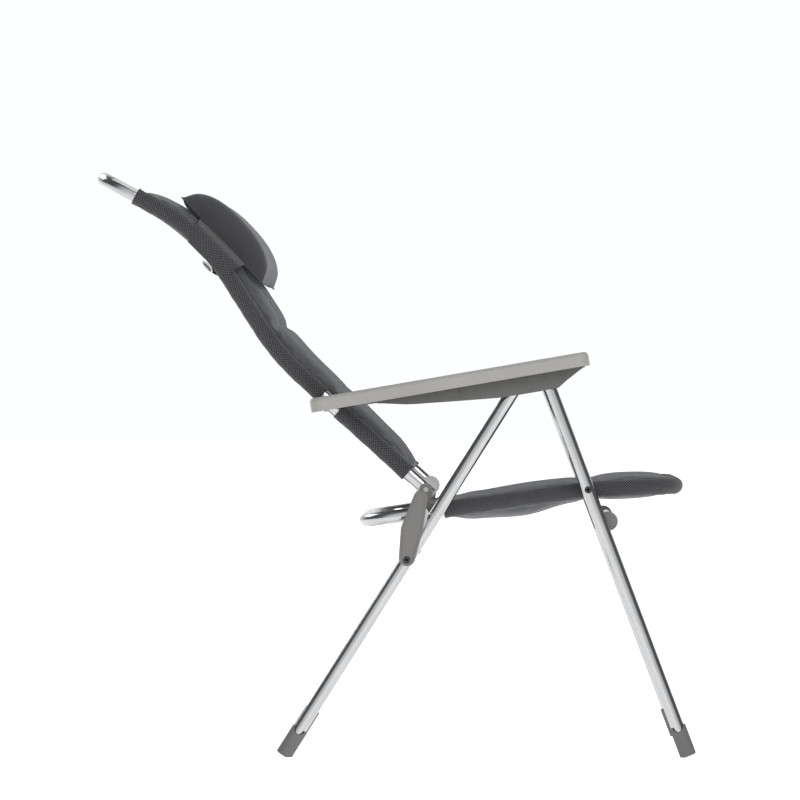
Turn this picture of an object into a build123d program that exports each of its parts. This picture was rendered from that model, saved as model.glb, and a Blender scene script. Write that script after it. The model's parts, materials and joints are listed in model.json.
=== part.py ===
"""Folding reclining camp chair, in millimetres.

+X is the way the sitter faces, +Y the sitter's left, +Z up. The origin is on the floor
under the middle of the chair. Every side view point is an (x, z) pair.
"""
from build123d import *
from math import atan2, cos, degrees, hypot, radians, sin
import os

os.makedirs("parts", exist_ok=True)

# ---------------------------------------------------------------- driving dimensions
# tubes
tube_diameter = 22.0
tube_wall = 1.5
pin_diameter = 8.0
pin_clearance = 0.2
# two parts larger than strength asks for: each is the only mass that turns between two
# hinges on one axis, and a lighter one makes the pair of hinges unsteady when they move
armrest_pin_diameter = 15.0
back_washer = (16.0, 2.0)       # radius and thickness, inside the back tube
touch_gap = 0.3
plug_thickness = 1.2
bolt_head = (6.0, 2.4)          # radius and thickness

# lanes across the chair, as distances from the middle plane
frame_half_width = 245.0        # centre of the seat rails and of the back tubes
leg_lane_gap = 9.0              # between the seat rail and the leg beside it
armrest_width = 56.0
armrest_inner_gap = 3.2         # between the back tube and the armrest beside it

# the linkage, as link lengths and angles from +X
seat_pivot = (318.3, 438.5)
front_leg_angle = 110.66
front_leg_upper = 188.6
top_link_length = 51.1
top_link_angle = 187.4
rear_leg_angle = 57.74
rear_leg_upper = 336.5
side_link_length = 80.4
side_link_angle = 71.57
leg_end_height = 13.0
leg_end_above_pivot = 8.4

# seat
seat_front_slope = 2.3
seat_front_reach = 144.0
seat_rear_reach = 370.0
seat_front_corner = 55.0
seat_rear_corner = 60.0
seat_bend_radius = 700.0
seat_fabric_start = 35.0        # from the rear hinge to the fabric
seat_pad_above = 19.0
seat_pad_below = 13.0
seat_pad_taper = 120.0          # from its thin rear edge to its full thickness
pad_side_gap = 5.5              # between a pad and the tube beside it

# backrest
back_pivot_rise = 37.0
back_pivot_ahead = 10.4
back_tube_tail = 10.0
back_lower_angle = 137.6
back_lower_length = 330.0
back_middle_angle = 122.5
back_middle_length = 241.6
back_upper_angle = 151.5
back_upper_length = 183.4
back_lower_bend = 400.0
back_upper_bend = 300.0
back_top_corner = 62.0
back_pad_front = 31.0
back_pad_top_front = 4.0
back_pad_rear = 8.0
back_cloth_start = 40.0         # along the back tube, from its pivot
back_cloth_top = 64.0           # of bare tube before the top bow's centre
armrest_gap_start = 193.0       # along the back tube, where its cloth stops under the armrest
armrest_gap_end = 230.0         # and where it starts again above it
stud_reach = 206.0
stud_radius = 6.0

# fabric tubes round the frame
sleeve_thickness = 1.4
sleeve_gap = 0.4

# head pillow
pillow_length = 190.0
pillow_thickness = 58.0
pillow_half_width = 214.0
pillow_gap = 5.5                # between the back's edging and the pillow
pillow_up = 55.0                # of its top edge above the back's upper bend
pillow_foot_drop = 12.0
wing_gap = 0.25
wing_thickness = 0.9
wing_rise = 1.2

# armrest
armrest_angle = 9.7
armrest_length = 462.0
armrest_thickness = 23.0
armrest_wall = 3.0
armrest_ahead = 73.0            # from the front leg's pivot to the front end
armrest_pivot_depth = 15.5      # of that pivot under the shell's lower rim
armrest_corner = 20.0
armrest_edge = 7.0
casing_wall = 2.4
casing_depth = 28.0
casing_inner_gap = 0.4
casing_outer_reach = 5.4        # beyond the leg tube
pin_pocket_wall = 0.7
channel_rear = 124.0            # from the armrest's rear end to the casing's open channel
channel_front = 36.0            # ahead of the front leg's pivot
screw_from_rear = 112.0
screw_from_front = 22.0
screw_radius = 2.0
screw_post_radius = 5.0
screw_head_depth = 4.0
screw_grip = 12.0
rack_notches = 7
rack_pitch = 16.2
rack_thickness = 4.0

# side plates, boots, stretchers
side_plate_thickness = 6.0
side_plate_radii = (13.5, 18.0, 11.5)   # at its foot, its middle and its head
side_plate_rim = 3.5
side_plate_sink = 1.4
side_plate_gap = 1.0
side_link_radius = 10.0
side_link_thickness = 2.3
top_link_thickness = 2.0
top_link_gap = 0.4
boot_radius = 13.6
boot_length = 52.0
boot_rise = 2.5                 # of the centre of the boot's end above the floor
boot_edge = 3.0
boot_scallop = 9.0
rear_stretcher_up = 150.0
front_stretcher_down = 60.4
front_stretcher_ahead = 16.0
front_stretcher_diameter = 18.0
stretcher_boss_wall = 6.5
stretcher_boss_length = 24.0
bracket_spacer_thickness = 6.7
bracket_spacer_reach = 14.0

# hinge bracket between seat and backrest
bracket_thickness = 4.0
bracket_radius = 11.0
clamp_wall = 2.5
clamp_length = 48.0


# ---------------------------------------------------------------- derived places
def step(point, angle, distance):
    """The side view point a distance away from another, at an angle from +X."""
    return (point[0] + distance * cos(radians(angle)), point[1] + distance * sin(radians(angle)))


def angle_of(start, end):
    """The angle from +X of the line from one side view point to another."""
    return degrees(atan2(end[1] - start[1], end[0] - start[0]))


tube_radius = tube_diameter / 2
pin_radius = pin_diameter / 2
hole_radius = pin_radius + pin_clearance
sleeve_radius = tube_radius + sleeve_gap + sleeve_thickness
armrest_pin_radius = armrest_pin_diameter / 2
armrest_hole_radius = armrest_pin_radius + pin_clearance

rail_inner = frame_half_width - tube_radius
rail_outer = frame_half_width + tube_radius
leg_inner = rail_outer + leg_lane_gap
leg_outer = leg_inner + tube_diameter
leg_lane = leg_inner + tube_radius
armrest_inner = rail_outer + armrest_inner_gap

armrest_pivot = step(seat_pivot, front_leg_angle, front_leg_upper)
rear_top_pivot = step(armrest_pivot, top_link_angle, top_link_length)
rear_plate_pivot = step(rear_top_pivot, rear_leg_angle + 180, rear_leg_upper)
seat_rear_pivot = step(rear_plate_pivot, side_link_angle, side_link_length)
seat_slope = angle_of(seat_rear_pivot, seat_pivot)
back_pivot = step(step(seat_rear_pivot, seat_slope + 90, back_pivot_rise), seat_slope, back_pivot_ahead)
seat_rear_end = step(seat_pivot, seat_slope + 180, seat_rear_reach)
seat_front_end = step(seat_pivot, seat_front_slope, seat_front_reach)

back_tail = step(back_pivot, back_lower_angle + 180, back_tube_tail)
back_knee = step(back_pivot, back_lower_angle, back_lower_length)
back_neck = step(back_knee, back_middle_angle, back_middle_length)
back_top = step(back_neck, back_upper_angle, back_upper_length)

sides = {"left": 1, "right": -1}


def lane_plane(side, near):
    """A side view sketch plane whose extrusion runs outwards from a distance `near`."""
    return Plane((0, side * near, 0), x_dir=(1, 0, 0), z_dir=(0, side, 0))


def at(side, point):
    """A side view point in a lane plane's own coordinates."""
    return (point[0], -side * point[1])


def turned(side, angle):
    """A side view angle in a lane plane's own coordinates."""
    return -side * angle


def capsule(side, start, end, radius):
    """A round-ended bar between two side view points, in the sketch that is open."""
    middle = ((start[0] + end[0]) / 2, (start[1] + end[1]) / 2)
    length = hypot(end[0] - start[0], end[1] - start[1])
    with Locations(Location((*at(side, middle), 0), turned(side, angle_of(start, end)))):
        SlotCenterToCenter(length, 2 * radius)


def outline(side, points):
    """A straight-sided face through side view points, in the sketch that is open."""
    Polygon(*[at(side, point) for point in points], align=None)


def save(builder, node):
    """Label a finished piece and write it."""
    builder.part.label = node
    export_step(builder.part, f"parts/{node}.step")


def axis_plane(side, lane, point, angle):
    """A plane at a side view point, whose normal runs along a tube at that angle."""
    direction = (cos(radians(angle)), 0, sin(radians(angle)))
    return Plane((point[0], side * lane, point[1]), x_dir=(0, 1, 0), z_dir=direction)


# ---------------------------------------------------------------- the legs
def leg_foot(through, angle, height):
    """Where a leg's centre line is at a height over the floor."""
    return step(through, angle, (height - through[1]) / sin(radians(angle)))


def leg_tube(node, side, top, angle, holes):
    """A straight round leg tube, from just over its top pivot to just over the floor."""
    foot = leg_foot(top, angle, leg_end_height)
    length = hypot(top[0] - foot[0], top[1] - foot[1]) + leg_end_above_pivot
    with BuildPart() as tube:
        with BuildSketch(axis_plane(side, leg_lane, foot, angle)):
            Circle(tube_radius)
            Circle(tube_radius - tube_wall, mode=Mode.SUBTRACT)
        extrude(amount=length)
        with BuildSketch(lane_plane(side, leg_inner - 1)):
            for hole, radius in holes:
                with Locations(at(side, hole)):
                    Circle(radius)
        extrude(amount=tube_diameter + 2, mode=Mode.SUBTRACT)
    save(tube, node)


def boot(node, side, top, angle):
    """A rubber boot on a leg's foot, scalloped on its two faces, with a small flat sole."""
    heel = leg_foot(top, angle, boot_rise)
    scallop = step(heel, angle, boot_length)
    with BuildPart() as rubber:
        with BuildSketch(axis_plane(side, leg_lane, heel, angle)):
            Circle(boot_radius)
        extrude(amount=boot_length)
        fillet(rubber.edges().group_by(Axis.Z)[0], boot_edge)
        with BuildSketch(axis_plane(side, leg_lane, leg_foot(top, angle, leg_end_height), angle)):
            Circle(tube_radius)
        extrude(amount=boot_length, mode=Mode.SUBTRACT)
        with BuildSketch(lane_plane(side, leg_inner - boot_radius)):
            with Locations(at(side, scallop)):
                Circle(boot_scallop)
        extrude(amount=4 * boot_radius, mode=Mode.SUBTRACT)
        split(bisect_by=Plane.XY, keep=Keep.TOP)
    save(rubber, node)


for name, side in sides.items():
    leg_tube(f"front_leg_tube_{name}", side, armrest_pivot, front_leg_angle,
             [(armrest_pivot, armrest_hole_radius), (seat_pivot, hole_radius)])
    leg_tube(f"rear_leg_tube_{name}", side, rear_top_pivot, rear_leg_angle,
             [(rear_top_pivot, hole_radius), (rear_plate_pivot, hole_radius)])
    boot(f"front_boot_{name}", side, armrest_pivot, front_leg_angle)
    boot(f"rear_boot_{name}", side, rear_top_pivot, rear_leg_angle)


def plug(node, lane_point_angles):
    """Flat end plugs on open tube ends, one solid for each (side, lane, point, angle)."""
    with BuildPart() as plugs:
        for side, lane, point, angle in lane_point_angles:
            with BuildSketch(axis_plane(side, lane, point, angle)):
                Circle(tube_radius)
            extrude(amount=plug_thickness)
    save(plugs, node)


front_leg_top = step(armrest_pivot, front_leg_angle, leg_end_above_pivot)
rear_leg_top = step(rear_top_pivot, rear_leg_angle, leg_end_above_pivot)
plug("front_leg_top_plugs",
     [(side, leg_lane, front_leg_top, front_leg_angle) for side in sides.values()])
plug("rear_leg_top_plugs",
     [(side, leg_lane, rear_leg_top, rear_leg_angle) for side in sides.values()])


def crossbar(node, centre, radius, half_length):
    """A round tube straight across the chair."""
    with BuildPart() as bar:
        with BuildSketch(Plane((centre[0], 0, centre[1]), x_dir=(1, 0, 0), z_dir=(0, 1, 0))):
            Circle(radius)
            Circle(radius - tube_wall, mode=Mode.SUBTRACT)
        extrude(amount=half_length, both=True)
    save(bar, node)


front_stretcher_foot = step(seat_pivot, front_leg_angle + 180, front_stretcher_down)
front_stretcher_centre = step(front_stretcher_foot, front_leg_angle - 90, front_stretcher_ahead)
front_stretcher_radius = front_stretcher_diameter / 2
bracket_boss_radius = front_stretcher_radius + stretcher_boss_wall
bracket_boss_inner = leg_inner - stretcher_boss_length
front_stretcher_end = leg_inner - bracket_thickness
crossbar("front_stretcher", front_stretcher_centre, front_stretcher_radius, front_stretcher_end)

rear_leg_foot = leg_foot(rear_top_pivot, rear_leg_angle, 0)
rear_stretcher_centre = step(rear_leg_foot, rear_leg_angle, rear_stretcher_up)
crossbar("rear_stretcher", rear_stretcher_centre, tube_radius - 1, leg_inner)


def front_bracket(node, side):
    """A moulded bracket inside the front leg: a spacer at the seat pivot and a crossbar boss."""
    across = front_leg_angle - 90
    spacer_top = step(seat_pivot, front_leg_angle, bracket_spacer_reach)
    spacer_foot = step(seat_pivot, front_leg_angle + 180, front_stretcher_down + bracket_spacer_reach)
    boss_flat = step(front_stretcher_foot, across, 5)
    boss_middle = step(front_stretcher_foot, across, front_stretcher_ahead - 3)
    with BuildPart() as bracket:
        with BuildSketch(lane_plane(side, leg_inner - bracket_spacer_thickness)):
            capsule(side, spacer_top, spacer_foot, tube_radius - 1)
        extrude(amount=bracket_spacer_thickness)
        with BuildSketch(lane_plane(side, bracket_boss_inner)):
            with Locations(at(side, boss_middle)):
                Circle(bracket_boss_radius)
            with Locations(Location((*at(side, boss_flat), 0), turned(side, across))):
                Rectangle(3 * bracket_boss_radius, 4 * bracket_boss_radius,
                          align=(Align.MAX, Align.CENTER), mode=Mode.SUBTRACT)
                Rectangle(front_stretcher_ahead - 8, 2 * bracket_boss_radius,
                          align=(Align.MIN, Align.CENTER))
        extrude(amount=leg_inner - bracket_boss_inner)
        with BuildSketch(lane_plane(side, bracket_boss_inner)):
            with Locations(at(side, front_stretcher_centre)):
                Circle(front_stretcher_radius)
        extrude(amount=front_stretcher_end - bracket_boss_inner, mode=Mode.SUBTRACT)
        with BuildSketch(lane_plane(side, leg_inner - bracket_spacer_thickness)):
            with Locations(at(side, seat_pivot)):
                Circle(pin_radius)
        extrude(amount=bracket_spacer_thickness, mode=Mode.SUBTRACT)
    save(bracket, node)


for name, side in sides.items():
    front_bracket(f"front_bracket_{name}", side)


def pins(node, point, near, far, radius, near_head=None, far_head=None):
    """Round pins across a lane on both sides, with heads of (radius, thickness) beyond their ends."""
    with BuildPart() as group:
        for side in sides.values():
            with BuildSketch(lane_plane(side, near)):
                with Locations(at(side, point)):
                    Circle(radius)
            extrude(amount=far - near)
            if near_head:
                with BuildSketch(lane_plane(side, near - near_head[1])):
                    with Locations(at(side, point)):
                        Circle(near_head[0])
                extrude(amount=near_head[1])
            if far_head:
                with BuildSketch(lane_plane(side, far)):
                    with Locations(at(side, point)):
                        Circle(far_head[0])
                extrude(amount=far_head[1])
    save(group, node)


pins("seat_pivot_bolts", seat_pivot, rail_inner, leg_outer, pin_radius, bolt_head, bolt_head)
link_inner = leg_inner - top_link_gap
link_outer = leg_outer + top_link_gap


def top_links():
    """Steel links that hold the two leg tops apart, one each side of each pair of tubes."""
    with BuildPart() as links:
        for side in sides.values():
            for near in (link_inner - top_link_thickness, link_outer):
                with BuildSketch(lane_plane(side, near)):
                    capsule(side, armrest_pivot, rear_top_pivot, pin_radius + 4.5)
                    with Locations(at(side, armrest_pivot)):
                        Circle(armrest_hole_radius + 2.5)
                        Circle(armrest_hole_radius, mode=Mode.SUBTRACT)
                    with Locations(at(side, rear_top_pivot)):
                        Circle(pin_radius, mode=Mode.SUBTRACT)
                extrude(amount=top_link_thickness)
    save(links, "leg_top_links")


top_links()
pins("rear_leg_top_pins", rear_top_pivot, link_inner - top_link_thickness - pin_clearance,
     link_outer + top_link_thickness + pin_clearance, pin_radius)

# ---------------------------------------------------------------- the side plates
plate_near = leg_outer + side_plate_gap
cover_near = plate_near + side_link_thickness
cover_far = cover_near + side_plate_thickness
plate_tail = step(rear_plate_pivot, side_link_angle + 12, 3)
plate_head = step(rear_plate_pivot, side_link_angle + 6, side_link_length + 24)
plate_middle = step(rear_plate_pivot, side_link_angle + 9, side_link_length * 0.62)
plate_rounds = list(zip((plate_tail, plate_middle, plate_head), side_plate_radii))


def plate_circles(side, inset):
    """The three rounds that the side plate's oval wraps, shrunk by an inset."""
    for point, radius in plate_rounds:
        with Locations(at(side, point)):
            Circle(radius - inset)


def side_cover(node, side):
    """The oval moulded cover of a side plate, with a raised rim round a sunk panel."""
    with BuildPart() as cover:
        with BuildSketch(lane_plane(side, cover_near)):
            plate_circles(side, 0)
            make_hull()
        extrude(amount=side_plate_thickness)
        rim = cover.faces().sort_by(Axis.Y)[-1 if side > 0 else 0]
        fillet(rim.edges(), 1.8)
        with BuildSketch(lane_plane(side, cover_far - side_plate_sink)):
            plate_circles(side, side_plate_rim)
            make_hull()
        extrude(amount=2 * side_plate_sink, mode=Mode.SUBTRACT)
        with BuildSketch(lane_plane(side, cover_near)):
            with Locations(at(side, rear_plate_pivot)):
                Circle(pin_radius)
        extrude(amount=side_plate_thickness, mode=Mode.SUBTRACT)
    save(cover, node)


def side_link(node, side):
    """The steel link behind a cover, drilled for the leg's bolt and the seat's pin."""
    with BuildPart() as link:
        with BuildSketch(lane_plane(side, plate_near)):
            capsule(side, rear_plate_pivot, seat_rear_pivot, side_link_radius)
            with Locations(at(side, rear_plate_pivot), at(side, seat_rear_pivot)):
                Circle(pin_radius, mode=Mode.SUBTRACT)
        extrude(amount=side_link_thickness)
    save(link, node)


for name, side in sides.items():
    side_cover(f"side_cover_{name}", side)
    side_link(f"side_link_{name}", side)

bracket_near = rail_outer + touch_gap
bracket_far = bracket_near + bracket_thickness
pins("rear_leg_bolts", rear_plate_pivot, leg_inner, cover_far - side_plate_sink, pin_radius,
     bolt_head, (bolt_head[0] - 0.5, 1.6))
pins("seat_link_pins", seat_rear_pivot, bracket_far + touch_gap, cover_near, pin_radius)


# ---------------------------------------------------------------- the seat
def seat_path(start_reach):
    """Half of the seat loop's centre line on the left, from along the rear rail to the front bar."""
    start = step(seat_pivot, seat_slope + 180, start_reach)
    corners = [(point[0], frame_half_width, point[1]) for point in (start, seat_pivot, seat_front_end)]
    return corners + [(seat_front_end[0], 0, seat_front_end[1])]


def seat_frame():
    """The closed seat loop of bent tube, with holes for its pivots."""
    rear = (seat_rear_end[0], 0, seat_rear_end[1])
    corner = (seat_rear_end[0], frame_half_width, seat_rear_end[1])
    with BuildPart() as frame:
        with BuildLine() as path:
            FilletPolyline([rear, corner] + seat_path(0)[1:],
                           radius=[seat_rear_corner, seat_bend_radius, seat_front_corner])
        with BuildSketch(Plane(rear, x_dir=(1, 0, 0), z_dir=(0, 1, 0))):
            Circle(tube_radius)
            Circle(tube_radius - tube_wall, mode=Mode.SUBTRACT)
        sweep(path=path.line)
        mirror(about=Plane.XZ)
        for side in sides.values():
            with BuildSketch(lane_plane(side, rail_inner - 1)):
                with Locations(at(side, seat_pivot)):
                    Circle(hole_radius)
                with Locations(at(side, seat_rear_pivot)):
                    Circle(pin_radius)
            extrude(amount=tube_diameter + 2, mode=Mode.SUBTRACT)
    save(frame, "seat_frame")


seat_frame()


def hinge_bracket(node, side):
    """A hinge bracket: a clamp round the seat rail with a plate up to the backrest's pivot."""
    clamp_start = step(seat_rear_pivot, seat_slope + 180, clamp_length / 2)
    with BuildPart() as bracket:
        with BuildSketch(lane_plane(side, bracket_near)):
            capsule(side, seat_rear_pivot, back_pivot, bracket_radius)
        extrude(amount=bracket_thickness)
        with BuildSketch(axis_plane(side, frame_half_width, clamp_start, seat_slope)):
            Circle(tube_radius + clamp_wall)
        extrude(amount=clamp_length)
        with BuildSketch(axis_plane(side, frame_half_width, clamp_start, seat_slope)):
            Circle(tube_radius)
        extrude(amount=clamp_length, mode=Mode.SUBTRACT)
        with BuildSketch(lane_plane(side, rail_inner - clamp_wall)):
            with Locations(at(side, back_pivot)):
                Circle(hole_radius)
            with Locations(at(side, seat_rear_pivot)):
                Circle(pin_radius)
        extrude(amount=bracket_far - rail_inner + clamp_wall, mode=Mode.SUBTRACT)
    save(bracket, node)


for name, side in sides.items():
    hinge_bracket(f"seat_hinge_bracket_{name}", side)
pins("seat_rear_bolts", seat_rear_pivot, rail_inner - clamp_wall, bracket_far, pin_radius)


def seat_sleeve():
    """The mesh edging round the rails and the front bar, as one bent tube of cloth."""
    rear_rail = hypot(seat_pivot[0] - seat_rear_pivot[0], seat_pivot[1] - seat_rear_pivot[1])
    start = step(seat_rear_pivot, seat_slope, seat_fabric_start)
    with BuildPart() as sleeve:
        with BuildLine() as path:
            FilletPolyline(seat_path(rear_rail - seat_fabric_start),
                           radius=[seat_bend_radius, seat_front_corner])
        with BuildSketch(axis_plane(1, frame_half_width, start, seat_slope)):
            Circle(sleeve_radius)
            Circle(tube_radius + sleeve_gap, mode=Mode.SUBTRACT)
        sweep(path=path.line)
        mirror(about=Plane.XZ)
        for side in sides.values():
            with BuildSketch(lane_plane(side, rail_inner - 3)):
                with Locations(at(side, seat_pivot)):
                    Circle(bolt_head[0] + 1.5)
            extrude(amount=tube_diameter + 6, mode=Mode.SUBTRACT)
    save(sleeve, "seat_sleeve")


seat_sleeve()

pad_half_width = rail_inner - pad_side_gap


def seat_pad():
    """The quilted seat panel between the rails, as one closed cushion."""
    rear = step(seat_rear_pivot, seat_slope, seat_fabric_start)
    lift = seat_slope + 90
    front = (seat_front_end[0] - tube_radius - 4, seat_front_end[1])
    middle = step(seat_rear_pivot, seat_slope, seat_fabric_start + seat_pad_taper)
    with BuildPart() as pad:
        with BuildSketch(lane_plane(1, -pad_half_width)):
            outline(1, [step(rear, lift, 8), step(middle, lift, seat_pad_above - 4),
                        step(seat_pivot, lift, seat_pad_above), step(front, 90, seat_pad_above),
                        step(front, -90, 9), step(seat_pivot, lift + 180, seat_pad_below),
                        step(rear, lift + 180, seat_pad_below - 3)])
        extrude(amount=2 * pad_half_width)
        fillet(pad.edges().filter_by(Axis.Z).sort_by(Axis.X)[-2:], seat_front_corner - sleeve_radius)
    save(pad, "seat_pad")


seat_pad()


# ---------------------------------------------------------------- the backrest
def back_frame():
    """The backrest's bent tube: two shaped sides joined by the top bow."""
    lane = frame_half_width
    points = [(point[0], lane, point[1]) for point in (back_tail, back_knee, back_neck, back_top)]
    points.append((back_top[0], 0, back_top[1]))
    with BuildPart() as frame:
        with BuildLine() as path:
            FilletPolyline(points, radius=[back_lower_bend, back_upper_bend, back_top_corner])
        with BuildSketch(axis_plane(1, lane, back_tail, back_lower_angle)):
            Circle(tube_radius)
            Circle(tube_radius - tube_wall, mode=Mode.SUBTRACT)
        sweep(path=path.line)
        mirror(about=Plane.XZ)
        for side in sides.values():
            with BuildSketch(lane_plane(side, rail_inner - 1)):
                with Locations(at(side, back_pivot)):
                    Circle(hole_radius)
            extrude(amount=tube_diameter + 2, mode=Mode.SUBTRACT)
    save(frame, "back_frame")


back_frame()
plug("back_frame_plugs", [(side, frame_half_width, back_tail, back_lower_angle + 180)
                          for side in sides.values()])
pins("back_pivot_pins", back_pivot, rail_inner, bracket_far, pin_radius, back_washer)


def back_sleeve(node, side, points, bends, angle):
    """A run of mesh edging round a backrest tube."""
    path_points = [(point[0], side * frame_half_width, point[1]) for point in points]
    with BuildPart() as sleeve:
        with BuildLine() as path:
            if bends:
                FilletPolyline(path_points, radius=bends)
            else:
                Line(*path_points)
        with BuildSketch(axis_plane(side, frame_half_width, points[0], angle)):
            Circle(sleeve_radius)
            Circle(tube_radius + sleeve_gap, mode=Mode.SUBTRACT)
        sweep(path=path.line)
    save(sleeve, node)


back_cloth_end = step(back_neck, back_upper_angle, back_upper_length - back_cloth_top)
for name, side in sides.items():
    back_sleeve(f"back_sleeve_upper_{name}", side,
                [step(back_pivot, back_lower_angle, armrest_gap_end), back_knee, back_neck, back_cloth_end],
                [back_lower_bend, back_upper_bend], back_lower_angle)
    back_sleeve(f"back_sleeve_lower_{name}", side,
                [step(back_pivot, back_lower_angle, back_cloth_start),
                 step(back_pivot, back_lower_angle, armrest_gap_start)], [], back_lower_angle)
back_stud = step(back_pivot, back_lower_angle, stud_reach)
pins("armrest_studs", back_stud, rail_outer - tube_wall, armrest_inner - touch_gap, stud_radius)


def back_pad():
    """The quilted back panel between the tubes, as one closed cushion."""
    start = step(back_pivot, back_lower_angle, back_cloth_start)
    low = back_lower_angle - 90
    mid = (back_lower_angle + back_middle_angle) / 2 - 90
    middle = back_middle_angle - 90
    shoulder = step(back_neck, back_middle_angle + 180, 150)
    high = (back_middle_angle + back_upper_angle) / 2 - 90
    top = back_upper_angle - 90
    belly = step(start, back_lower_angle, 60)
    with BuildPart() as pad:
        with BuildSketch(lane_plane(1, -pad_half_width)):
            outline(1, [step(start, low, 14), step(belly, low, back_pad_front - 4),
                        step(back_knee, mid, back_pad_front), step(shoulder, middle, back_pad_front - 7),
                        step(back_neck, high, back_pad_top_front), step(back_cloth_end, top, 10),
                        step(back_cloth_end, top + 180, back_pad_rear),
                        step(back_neck, high + 180, back_pad_rear + 12),
                        step(back_knee, mid + 180, back_pad_rear + 2),
                        step(start, low + 180, back_pad_rear)])
        extrude(amount=2 * pad_half_width)
    save(pad, "back_pad")


back_pad()

# ---------------------------------------------------------------- the head pillow
pillow_angle = (back_middle_angle + back_upper_angle) / 2 - 2
upper_turn = radians(back_upper_angle - back_middle_angle)
neck_inset = back_upper_bend * (1 / cos(upper_turn / 2) - 1)
pillow_seat = step(back_neck, pillow_angle + 90, neck_inset)
pillow_back = sleeve_radius + pillow_gap


def pillow_point(along, out):
    """A side view point in the pillow's own directions, along the back and out from it."""
    return step(step(pillow_seat, pillow_angle, along), pillow_angle - 90, out)


def head_pillow():
    """The head pillow, flat behind and rounded in front."""
    foot = pillow_up - pillow_length - pillow_foot_drop
    crown = pillow_back + pillow_thickness + 4
    with BuildPart() as pillow:
        with BuildSketch(lane_plane(1, -pillow_half_width)):
            outline(1, [pillow_point(pillow_up - 6, pillow_back + 3), pillow_point(foot + 6, pillow_back),
                        pillow_point(foot - 4, pillow_back + 14),
                        pillow_point(foot + 14, pillow_back + 0.74 * pillow_thickness),
                        pillow_point(foot + 60, crown), pillow_point(pillow_up - 75, crown + 1),
                        pillow_point(pillow_up - 28, pillow_back + 0.72 * pillow_thickness),
                        pillow_point(pillow_up, pillow_back + 12)])
        extrude(amount=2 * pillow_half_width)
    save(pillow, "head_pillow")


head_pillow()
wing_near = frame_half_width + sleeve_radius + wing_gap
wing_out = pillow_back + wing_rise


def pillow_wings():
    """Mesh wings that hold the pillow: across the front of each back tube and down its outer side."""
    with BuildPart() as wings:
        for side in sides.values():
            with BuildSketch(lane_plane(side, wing_near)):
                outline(side, [pillow_point(16, wing_out), pillow_point(-92, wing_out),
                               pillow_point(-86, -20), pillow_point(0, -10)])
            extrude(amount=wing_thickness)
            with BuildSketch(lane_plane(side, pillow_half_width)):
                outline(side, [pillow_point(16, wing_out), pillow_point(-92, wing_out),
                               pillow_point(-92, wing_out - wing_rise),
                               pillow_point(16, wing_out - wing_rise)])
            extrude(amount=wing_near + wing_thickness - pillow_half_width)
    save(wings, "pillow_wings")


pillow_wings()

# ---------------------------------------------------------------- the armrests
armrest_tail = armrest_length - armrest_ahead
rim_origin = step(armrest_pivot, armrest_angle + 90, armrest_pivot_depth)


def rim_plane(side, height=0.0):
    """The plane of an armrest shell's lower rim, with its x axis towards the front."""
    origin = step(rim_origin, armrest_angle + 90, height)
    lane = side * (armrest_inner + armrest_width / 2)
    tilt = radians(armrest_angle)
    return Plane((origin[0], lane, origin[1]), x_dir=(cos(tilt), 0, sin(tilt)),
                 z_dir=(-sin(tilt), 0, cos(tilt)))


def armrest_point(along, depth):
    """A side view point by its reach ahead of the front pivot and its depth under the rim."""
    return step(step(rim_origin, armrest_angle, along), armrest_angle - 90, depth)


screw_reaches = (-armrest_tail + screw_from_rear, armrest_ahead - screw_from_front)
armrest_lane = armrest_inner + armrest_width / 2


def screw_places(side):
    """The screws' places in a rim plane: over the middle of the leg tube, near both ends."""
    return [(reach, side * (leg_lane - armrest_lane)) for reach in screw_reaches]


def armrest_shell(node, side):
    """The armrest's hollow moulded shell, open below, with two screw posts inside."""
    centre = (armrest_ahead - armrest_tail) / 2
    hollow = armrest_thickness - armrest_wall
    with BuildPart() as shell:
        with BuildSketch(rim_plane(side)):
            with Locations((centre, 0)):
                RectangleRounded(armrest_length, armrest_width, armrest_corner)
        extrude(amount=armrest_thickness)
        top = shell.faces().sort_by(SortBy.AREA)[-2:].sort_by(Axis.Z)[-1]
        fillet(top.edges(), armrest_edge)
        with BuildSketch(rim_plane(side)):
            with Locations((centre, 0)):
                RectangleRounded(armrest_length - 2 * armrest_wall, armrest_width - 2 * armrest_wall,
                                 armrest_corner - armrest_wall)
        extrude(amount=hollow, mode=Mode.SUBTRACT)
        with BuildSketch(rim_plane(side)):
            with Locations(*screw_places(side)):
                Circle(screw_post_radius)
        extrude(amount=hollow)
        with BuildSketch(rim_plane(side)):
            with Locations(*screw_places(side)):
                Circle(screw_radius)
        extrude(amount=screw_grip, mode=Mode.SUBTRACT)
    save(shell, node)


casing_near = armrest_inner + casing_inner_gap
casing_far = leg_outer + casing_outer_reach
# the casing's lower edge, as (reach from the armrest's rear end, depth under the rim)
casing_edge = [(95, 0), (156, 13), (247, 22), (314, casing_depth), (armrest_tail + 16, casing_depth),
               (armrest_tail + 32, 18), (armrest_tail + 52, 7), (armrest_tail + 66, 0)]


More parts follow.
